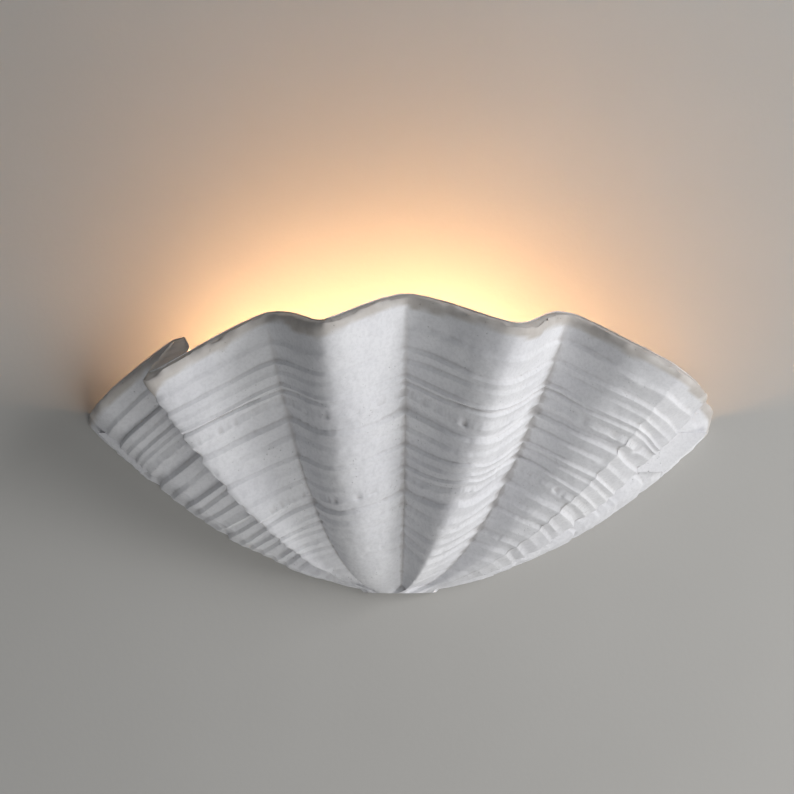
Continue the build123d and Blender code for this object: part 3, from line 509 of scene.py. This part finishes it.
def build_shell():
    places, outer, inner, beside, stain = shell_grids()
    inner_rim = np.stack([np.interp(places, places[::INNER_EVERY], inner[-1][:, c]) for c in range(3)], -1)
    outer = np.concatenate([outer, rim_rows(outer[-1], inner_rim)])
    faces = shell_faces(*outer.shape[:2], beside, *inner.shape[:2])
    verts = np.concatenate([outer.reshape(-1, 3), inner.reshape(-1, 3)])
    for side in (-1, 1):
        lug_verts, rings = lug_faces(side)
        faces += [tuple(len(verts) + i for i in ring) for ring in rings]
        verts = np.concatenate([verts, lug_verts])
    verts = (verts - [0, 0, UMBO_DROP]) * MM
    mesh = bpy.data.meshes.new("cast_shell")
    mesh.from_pydata(verts.tolist(), [], faces)
    mesh.validate()
    # the umbo's row has no stain, then come the outer face and the rim, which is stained all over
    rim = np.zeros(len(verts))
    rim[len(places) : outer[..., 0].size] = 1
    rim[len(places) : len(places) + stain.size] = stain.ravel()
    mesh.attributes.new("rim", "FLOAT", "POINT").data.foreach_set("value", rim)
    mesh.polygons.foreach_set("use_smooth", [True] * len(mesh.polygons))
    mesh.set_sharp_from_angle(angle=math.radians(SHARP_EDGE))
    obj = bpy.data.objects.new("cast_shell", mesh)
    bpy.context.scene.collection.objects.link(obj)
    return obj


# ================================================================ materials
def new_material(name):
    material = bpy.data.materials.new(name)
    material.use_nodes = True
    nodes = material.node_tree.nodes
    return material, nodes, material.node_tree.links, nodes["Principled BSDF"]


def node(nodes, kind, **inputs):
    made = nodes.new(kind)
    for name, value in inputs.items():
        made.inputs[name.replace("_", " ")].default_value = value
    return made


def noise_node(nodes, links, scale, detail=4.0, roughness=0.55, stretch=None):
    """Noise in object space, at a scale in cycles a metre."""
    coordinates = nodes.new("ShaderNodeTexCoord")
    source = coordinates.outputs["Object"]
    if stretch:
        mapping = nodes.new("ShaderNodeMapping")
        mapping.inputs["Scale"].default_value = stretch
        links.new(source, mapping.inputs["Vector"])
        source = mapping.outputs["Vector"]
    made = node(nodes, "ShaderNodeTexNoise", Scale=scale, Detail=detail, Roughness=roughness)
    links.new(source, made.inputs["Vector"])
    return made


def ramp(nodes, links, source, stops):
    """Colours at places in 0..1 of the source."""
    made = nodes.new("ShaderNodeValToRGB")
    elements = made.color_ramp.elements
    while len(elements) < len(stops):
        elements.new(0.5)
    for element, (place, colour) in zip(elements, stops):
        element.position = place
        element.color = (*colour, 1)
    links.new(source, made.inputs["Fac"])
    return made


def mixed(nodes, links, factor, a, b, blend="MIX"):
    """The colour between a and b, each a socket or a plain value."""
    made = nodes.new("ShaderNodeMix")
    made.data_type = "RGBA"
    made.blend_type = blend
    for socket, value in ((made.inputs[0], factor), (made.inputs[6], a), (made.inputs[7], b)):
        if isinstance(value, bpy.types.NodeSocket):
            links.new(value, socket)
        elif isinstance(value, (int, float)):
            socket.default_value = value
        else:
            socket.default_value = (*value, 1)
    return made.outputs[2]


def bumped(nodes, links, shader, *layers):
    """Chains (height socket, strength, distance in mm) bumps into the shader."""
    normal = None
    for height, strength, distance in layers:
        bump = node(nodes, "ShaderNodeBump", Strength=strength, Distance=distance * MM)
        links.new(height, bump.inputs["Height"])
        if normal:
            links.new(normal, bump.inputs["Normal"])
        normal = bump.outputs["Normal"]
    links.new(normal, shader.inputs["Normal"])


def switch(nodes, links, factor, first, second):
    """The output's surface is the first shader where the factor is 0 and the second where it is 1."""
    mix = nodes.new("ShaderNodeMixShader")
    links.new(factor, mix.inputs["Fac"])
    links.new(first, mix.inputs[1])
    links.new(second, mix.inputs[2])
    output = next(n for n in nodes if n.type.startswith("OUTPUT"))
    links.new(mix.outputs["Shader"], output.inputs["Surface"])


def vary_roughness(nodes, links, shader, source, low, high):
    spread = node(nodes, "ShaderNodeMapRange", To_Min=low, To_Max=high)
    links.new(source.outputs["Fac"], spread.inputs["Value"])
    links.new(spread.outputs["Result"], shader.inputs["Roughness"])


WHITE = (1, 1, 1)
BLACK = (0, 0, 0)
PLASTER = (0.80, 0.80, 0.81)
PLASTER_SHADE = (0.73, 0.73, 0.75)
PLASTER_SPECK = (0.9, 0.9, 0.9)
# painted shade for the grooves and crevices
PAINTED_CREVICE_SHADE = (0.52, 0.48, 0.44)
STAIN_DARK = (0.47, 0.43, 0.385)
STAIN_PALE = (0.62, 0.585, 0.54)
# How strongly each shows: specks, rim stain, painted shade in the grooves and crevices, and painted shade in
# the air pits
SPECK_SHARE, STAIN_SHARE, CREVICE_SHADE_SHARE, PIT_SHADE_SHARE = 0.6, 0.85, 0.5, 0.35


def plaster_tint(nodes, links):
    """Pale plaster with greyer clouds and fine specks."""
    cloud = noise_node(nodes, links, scale=18, detail=5)
    tint = ramp(nodes, links, cloud.outputs["Fac"], [(0.35, PLASTER_SHADE), (0.62, PLASTER)])
    speck = noise_node(nodes, links, scale=420, detail=3)
    specks = ramp(nodes, links, speck.outputs["Fac"], [(0.40, PLASTER_SPECK), (0.55, WHITE)])
    return mixed(nodes, links, SPECK_SHARE, tint.outputs["Color"], specks.outputs["Color"], "MULTIPLY")


def plaster_stain(nodes, links, colour):
    """The tan stain on the rim, where the mesh says so."""
    rim = nodes.new("ShaderNodeAttribute")
    rim.attribute_name = "rim"
    share = nodes.new("ShaderNodeMath")
    share.operation = "MULTIPLY"
    share.inputs[1].default_value = STAIN_SHARE
    links.new(rim.outputs["Fac"], share.inputs[0])
    blotch = noise_node(nodes, links, scale=60)
    stain = ramp(nodes, links, blotch.outputs["Fac"], [(0.35, STAIN_DARK), (0.7, STAIN_PALE)])
    return mixed(nodes, links, share.outputs[0], colour, stain.outputs["Color"])


def painted_crevice_shade(nodes, links, colour):
    """Painted shade: the colour darkens in the grooves and crevices, where the mesh is concave."""
    geometry = nodes.new("ShaderNodeNewGeometry")
    crevice_shade = ramp(nodes, links, geometry.outputs["Pointiness"], [(0.44, PAINTED_CREVICE_SHADE), (0.492, WHITE)])
    return mixed(nodes, links, CREVICE_SHADE_SHARE, colour, crevice_shade.outputs["Color"], "MULTIPLY")


def pit_relief_and_shade(nodes, links):
    """Air-bubble pits in clusters, black in a pit and white between them: the pits' bump, and painted shade
    in the pits.
    """
    coordinates = nodes.new("ShaderNodeTexCoord")
    cells = node(nodes, "ShaderNodeTexVoronoi", Scale=330.0, Randomness=1.0)
    links.new(coordinates.outputs["Object"], cells.inputs["Vector"])
    pit = ramp(nodes, links, cells.outputs["Distance"], [(0.06, BLACK), (0.17, WHITE)])
    cluster = noise_node(nodes, links, scale=38, detail=3, roughness=0.6)
    clear = ramp(nodes, links, cluster.outputs["Fac"], [(0.52, WHITE), (0.62, BLACK)])
    return mixed(nodes, links, clear.outputs["Color"], pit.outputs["Color"], WHITE)


def plaster_material():
    material, nodes, links, shader = new_material("cast_plaster")
    colour = plaster_tint(nodes, links)
    colour = plaster_stain(nodes, links, colour)
    # painted shade darkens the grooves and crevices
    colour = painted_crevice_shade(nodes, links, colour)
    pits = pit_relief_and_shade(nodes, links)
    # painted shade: the air pits are darkened in the colour
    colour = mixed(nodes, links, PIT_SHADE_SHARE, colour, pits, "MULTIPLY")
    links.new(colour, shader.inputs["Base Color"])
    shader.inputs["Roughness"].default_value = 0.93
    shader.inputs["Specular IOR Level"].default_value = 0.25
    grain = noise_node(nodes, links, scale=900, roughness=0.6)
    brush = noise_node(nodes, links, scale=140, roughness=0.6)
    brush_bump = (brush.outputs["Fac"], 0.4, 0.35)
    grain_bump = (grain.outputs["Fac"], 0.35, 0.18)
    bumped(nodes, links, shader, brush_bump, grain_bump, (pits, 0.8, 0.5))
    return material


def metal_material(name, colour, roughness):
    """Bare or plated metal with fine lines along x."""
    material, nodes, links, shader = new_material(name)
    grain = noise_node(nodes, links, scale=500, roughness=0.6, stretch=(0.15, 1.0, 1.0))
    dark = tuple(c * 0.82 for c in colour)
    tone = ramp(nodes, links, grain.outputs["Fac"], [(0.3, dark), (0.7, colour)])
    links.new(tone.outputs["Color"], shader.inputs["Base Color"])
    cloud = noise_node(nodes, links, scale=90, detail=3)
    vary_roughness(nodes, links, shader, cloud, roughness - 0.08, roughness + 0.12)
    shader.inputs["Metallic"].default_value = 1.0
    bumped(nodes, links, shader, (grain.outputs["Fac"], 0.12, 0.05))
    return material


def moulded_material(name, colour, roughness, mottling=0.06, bump=0.15):
    """Plastic, rubber, glass or paint, slightly mottled."""
    material, nodes, links, shader = new_material(name)
    cloud = noise_node(nodes, links, scale=140)
    dark = tuple(max(c - mottling, 0) for c in colour)
    tone = ramp(nodes, links, cloud.outputs["Fac"], [(0.35, dark), (0.65, colour)])
    links.new(tone.outputs["Color"], shader.inputs["Base Color"])
    grain = noise_node(nodes, links, scale=1500, detail=2)
    vary_roughness(nodes, links, shader, grain, max(roughness - 0.06, 0.02), roughness + 0.08)
    bumped(nodes, links, shader, (grain.outputs["Fac"], bump, 0.06))
    return material


LAMP_GLOW = (1.0, 0.54, 0.23)
LAMP_STRENGTH = 145.0
OPAL = (0.97, 0.95, 0.90)
OPAL_SHADE = (0.93, 0.90, 0.84)


def globe_material():
    material, nodes, links, shader = new_material("lit_opal_globe")
    cloud = noise_node(nodes, links, scale=60, detail=3)
    tone = ramp(nodes, links, cloud.outputs["Fac"], [(0.3, OPAL_SHADE), (0.7, OPAL)])
    links.new(tone.outputs["Color"], shader.inputs["Base Color"])
    shader.inputs["Roughness"].default_value = 0.35
    shader.inputs["Emission Color"].default_value = (*LAMP_GLOW, 1)
    shader.inputs["Emission Strength"].default_value = LAMP_STRENGTH
    grain = noise_node(nodes, links, scale=800, detail=2)
    bumped(nodes, links, shader, (grain.outputs["Fac"], 0.1, 0.05))
    return material


def dress(materials):
    """Gives each CAD node the material of its record slot."""
    for entry in frame["record"]["subparts"]:
        obj = bpy.data.objects.get(entry["node"])
        if obj is None:
            continue
        obj.data.materials.clear()
        obj.data.materials.append(materials[entry["material_slot"]])


# ================================================================ the room
WALL_HALF = 1.6
WALL_GAP = 0.0006  # between the wall's paint and y = 0
WALL_PAINT = (0.485, 0.475, 0.45)
WALL_SHADE = (0.455, 0.445, 0.42)
LIGHTS = [
    # name, place in m, the point it faces, size in m, watts, colour
    ("window", (1.70, -1.20, 0.50), (0, 0, 0), (0.8, 1.2), 29, (0.98, 0.98, 1.0)),
    ("floor_bounce", (0.7, -0.95, -1.15), (0, 0, 0), (1.4, 1.2), 11, (1.0, 0.99, 0.97)),
    ("lamp_spill", (-0.085, -0.030, 0.012), (-0.10, -0.024, 0.1), (0.024, 0.024), 0.36, LAMP_GLOW),
]
ROOM_COLOUR, ROOM_STRENGTH = (0.80, 0.83, 0.88), 0.19  # the light from all sides
BACKDROP_COLOUR, BACKDROP_STRENGTH = (0.86, 0.86, 0.85), 0.9  # what the camera sees beyond the wall


def wall_material():
    """Painted wall. From behind it is clear, so that the object's back can be seen."""
    material, nodes, links, shader = new_material("wall_paint")
    cloud = noise_node(nodes, links, scale=3, detail=3)
    tone = ramp(nodes, links, cloud.outputs["Fac"], [(0.3, WALL_SHADE), (0.7, WALL_PAINT)])
    links.new(tone.outputs["Color"], shader.inputs["Base Color"])
    shader.inputs["Roughness"].default_value = 0.85
    shader.inputs["Specular IOR Level"].default_value = 0.2
    orange_peel = noise_node(nodes, links, scale=260, detail=3, roughness=0.5)
    bumped(nodes, links, shader, (orange_peel.outputs["Fac"], 0.25, 0.35))
    geometry = nodes.new("ShaderNodeNewGeometry")
    clear = nodes.new("ShaderNodeBsdfTransparent")
    switch(nodes, links, geometry.outputs["Backfacing"], shader.outputs["BSDF"], clear.outputs["BSDF"])
    return material


def make_wall():
    mesh = bpy.data.meshes.new("wall")
    corners = [(x * WALL_HALF, WALL_GAP, z * WALL_HALF) for x, z in ((-1, -1), (1, -1), (1, 1), (-1, 1))]
    mesh.from_pydata(corners, [], [(0, 1, 2, 3)])
    wall = bpy.data.objects.new("wall", mesh)
    bpy.context.scene.collection.objects.link(wall)
    mesh.materials.append(wall_material())


def area_light(name, place, target, size, power, colour):
    data = bpy.data.lights.new(name, "AREA")
    data.shape = "RECTANGLE"
    data.size, data.size_y = size
    data.energy = power
    data.color = colour
    light = bpy.data.objects.new(name, data)
    light.location = place
    light.rotation_euler = (Vector(target) - Vector(place)).to_track_quat("-Z", "Y").to_euler()
    bpy.context.scene.collection.objects.link(light)


def make_world():
    world = bpy.data.worlds.new("soft_room")
    bpy.context.scene.world = world
    world.use_nodes = True
    nodes, links = world.node_tree.nodes, world.node_tree.links
    room = nodes["Background"]
    room.inputs["Color"].default_value = (*ROOM_COLOUR, 1)
    room.inputs["Strength"].default_value = ROOM_STRENGTH
    backdrop = nodes.new("ShaderNodeBackground")
    backdrop.inputs["Color"].default_value = (*BACKDROP_COLOUR, 1)
    backdrop.inputs["Strength"].default_value = BACKDROP_STRENGTH
    path = nodes.new("ShaderNodeLightPath")
    seen = path.outputs["Is Camera Ray"]
    switch(nodes, links, seen, room.outputs["Background"], backdrop.outputs["Background"])


def make_camera():
    data = bpy.data.cameras.new("camera")
    data.sensor_width = SENSOR
    data.lens = SENSOR * CAMERA_DISTANCE / (IMAGE_SIZE * MM_PER_PIXEL)
    camera = bpy.data.objects.new("camera", data)
    x = (CENTRE_PIXEL - SHELL_MIDDLE_PIXEL) * MM_PER_PIXEL
    z = (UMBO_PIXEL - CENTRE_PIXEL) * MM_PER_PIXEL - UMBO_DROP
    camera.location = (x * MM, -CAMERA_DISTANCE * MM, z * MM)
    camera.rotation_euler = (math.pi / 2, 0, 0)
    bpy.context.scene.collection.objects.link(camera)
    bpy.context.scene.camera = camera


make_camera()
materials = {
    "plaster": plaster_material(),
    "zinc_steel": metal_material("zinc_steel", (0.60, 0.61, 0.62), 0.36),
    "white_paint": moulded_material("white_paint", (0.80, 0.80, 0.78), 0.45),
    "rubber": moulded_material("black_rubber", (0.035, 0.035, 0.035), 0.75, mottling=0.01),
    "brass": metal_material("brass", (0.78, 0.60, 0.31), 0.30),
    "holder_plastic": moulded_material("holder_plastic", (0.84, 0.82, 0.77), 0.5),
    "block_plastic": moulded_material("block_plastic", (0.82, 0.81, 0.75), 0.42),
    "bulb_plastic": moulded_material("bulb_plastic", (0.88, 0.88, 0.87), 0.25),
    "bulb_glass": globe_material(),
    "cap_metal": metal_material("cap_metal", (0.72, 0.72, 0.73), 0.28),
    "black_glass": moulded_material("black_glass", (0.02, 0.02, 0.02), 0.12, mottling=0.005, bump=0.02),
    "live_sleeve": moulded_material("brown_sleeve", (0.20, 0.085, 0.03), 0.4, mottling=0.02),
    "neutral_sleeve": moulded_material("blue_sleeve", (0.04, 0.12, 0.42), 0.4, mottling=0.02),
    "earth_sleeve": moulded_material("green_sleeve", (0.10, 0.32, 0.05), 0.4, mottling=0.02),
}
dress(materials)

shell = build_shell()
shell.data.materials.append(materials["plaster"])
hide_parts("plaster_shell")
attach(shell, "shell")

make_wall()
for light in LIGHTS:
    area_light(*light)
make_world()
bpy.context.scene.view_settings.view_transform = "Standard"
